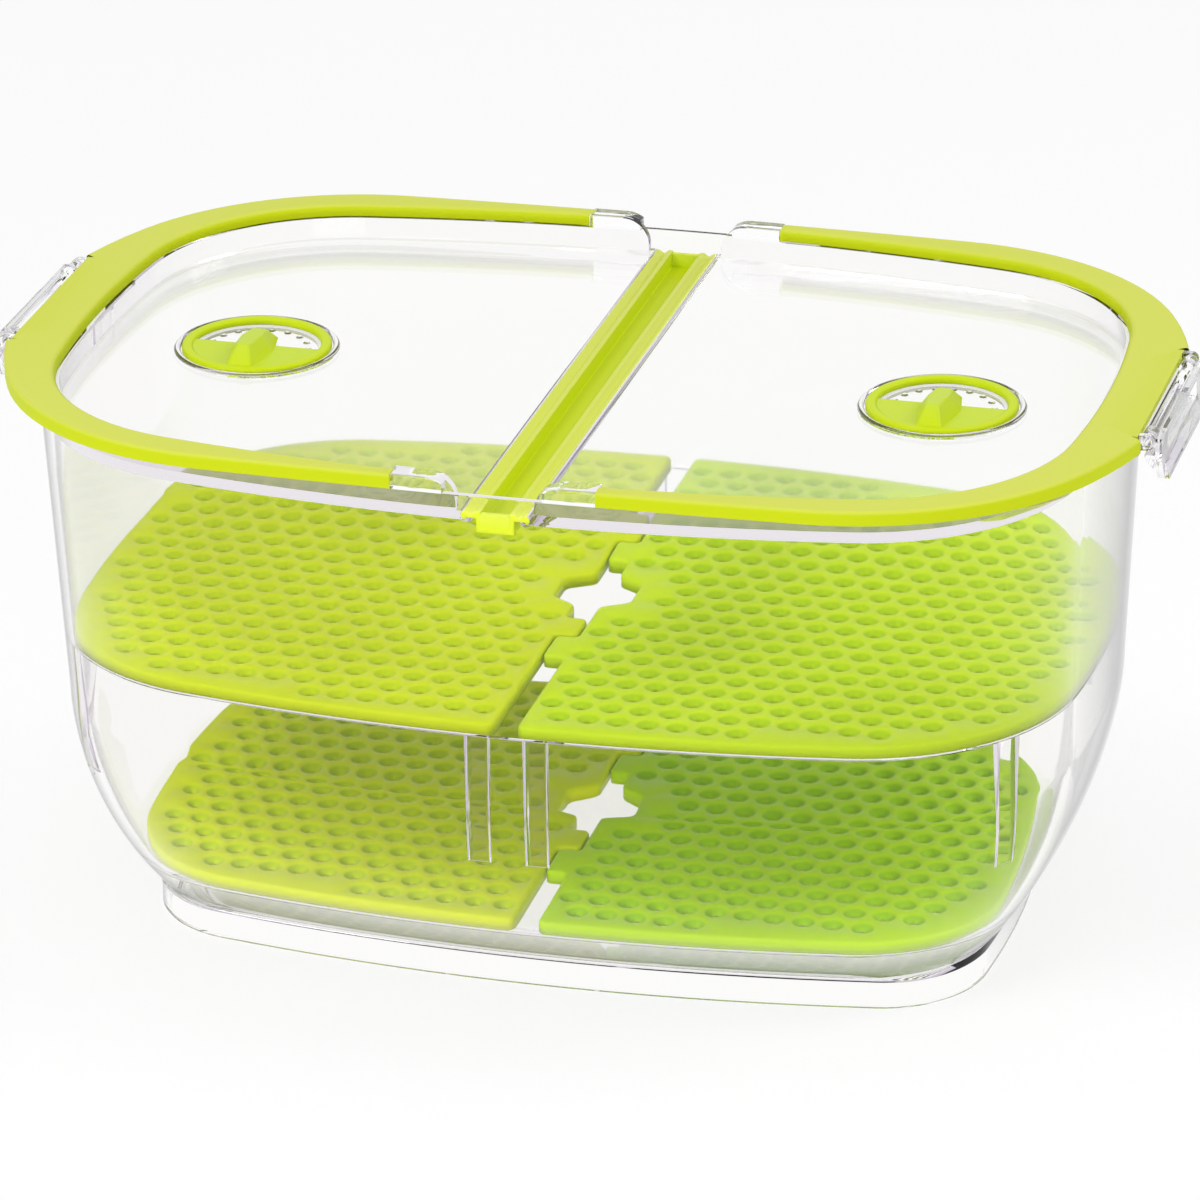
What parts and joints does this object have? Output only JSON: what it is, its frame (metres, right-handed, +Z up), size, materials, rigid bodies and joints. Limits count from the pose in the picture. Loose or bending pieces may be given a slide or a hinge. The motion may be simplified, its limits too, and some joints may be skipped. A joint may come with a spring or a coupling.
{
  "type": "food storage container with hinged lid",
  "caption": "Clear rounded food keeper with a sunken two-leaf lid, folding centre strip, turning vent dials, end latches and perforated lift-out trays.",
  "frame": {"origin": "centre of the foot's underside", "axes": "+Z up, X along the long side through both latches, -Y is the side that faces the camera most"},
  "size_m": [0.3476, 0.22, 0.1716],
  "materials": {
    "clear_tub": "clear moulded plastic, glossy",
    "clear_lid": "clear moulded plastic, glossy",
    "green_soft": "soft translucent green, satin",
    "green_dial": "green moulded plastic, glossy",
    "green_tray": "green moulded plastic, glossy",
    "seal_rubber": "pale silicone"
  },
  "bodies": {
    "tub": {"tub": "clear_tub"},
    "strip": {"hinge_strip": "green_soft"},
    "leaf_left": {"lid_left": "clear_lid", "rim_seal_left": "green_soft", "vent_base_left": "clear_lid"},
    "latch_left": {"latch_left": "clear_lid"},
    "dial_left": {"vent_dial_left": "green_dial", "vent_ring_seal_left": "seal_rubber", "vent_retainer_left": "clear_lid"},
    "tray_upper_left": {"tray_upper_left": "green_tray"},
    "tray_lower_left": {"tray_lower_left": "green_tray"},
    "leaf_right": {"lid_right": "clear_lid", "rim_seal_right": "green_soft", "vent_base_right": "clear_lid"},
    "latch_right": {"latch_right": "clear_lid"},
    "dial_right": {"vent_dial_right": "green_dial", "vent_ring_seal_right": "seal_rubber", "vent_retainer_right": "clear_lid"},
    "tray_upper_right": {"tray_upper_right": "green_tray"},
    "tray_lower_right": {"tray_lower_right": "green_tray"}
  },
  "joints": [
    {"name": "lid_lift", "type": "slide", "parent": "tub", "child": "strip", "axis": [0, 0, 1], "range_m": [0, 0.2]},
    {"name": "leaf_fold_left", "type": "hinge", "parent": "strip", "child": "leaf_left", "pos_m": [-0.0086, 0, 0.1602], "axis": [0, 1, 0], "range_deg": [0, 75]},
    {"name": "latch_swing_left", "type": "hinge", "parent": "leaf_left", "child": "latch_left", "pos_m": [-0.1685, 0, 0.1694], "axis": [0, 1, 0], "range_deg": [0, 110]},
    {"name": "dial_turn_left", "type": "hinge", "parent": "leaf_left", "child": "dial_left", "pos_m": [-0.1026, 0, 0.161], "axis": [0, 0, 1], "range_deg": [-90, 90]},
    {"name": "tray_lift_upper_left", "type": "slide", "parent": "tub", "child": "tray_upper_left", "axis": [0, 0, 1], "range_m": [0, 0.055]},
    {"name": "tray_lift_lower_left", "type": "slide", "parent": "tub", "child": "tray_lower_left", "axis": [0, 0, 1], "range_m": [0, 0.055]},
    {"name": "leaf_fold_right", "type": "hinge", "parent": "strip", "child": "leaf_right", "pos_m": [0.0086, 0, 0.1602], "axis": [0, -1, 0], "range_deg": [0, 75]},
    {"name": "latch_swing_right", "type": "hinge", "parent": "leaf_right", "child": "latch_right", "pos_m": [0.1685, 0, 0.1694], "axis": [0, -1, 0], "range_deg": [0, 110]},
    {"name": "dial_turn_right", "type": "hinge", "parent": "leaf_right", "child": "dial_right", "pos_m": [0.1026, 0, 0.161], "axis": [0, 0, 1], "range_deg": [-90, 90]},
    {"name": "tray_lift_upper_right", "type": "slide", "parent": "tub", "child": "tray_upper_right", "axis": [0, 0, 1], "range_m": [0, 0.055]},
    {"name": "tray_lift_lower_right", "type": "slide", "parent": "tub", "child": "tray_lower_right", "axis": [0, 0, 1], "range_m": [0, 0.055]}
  ]
}
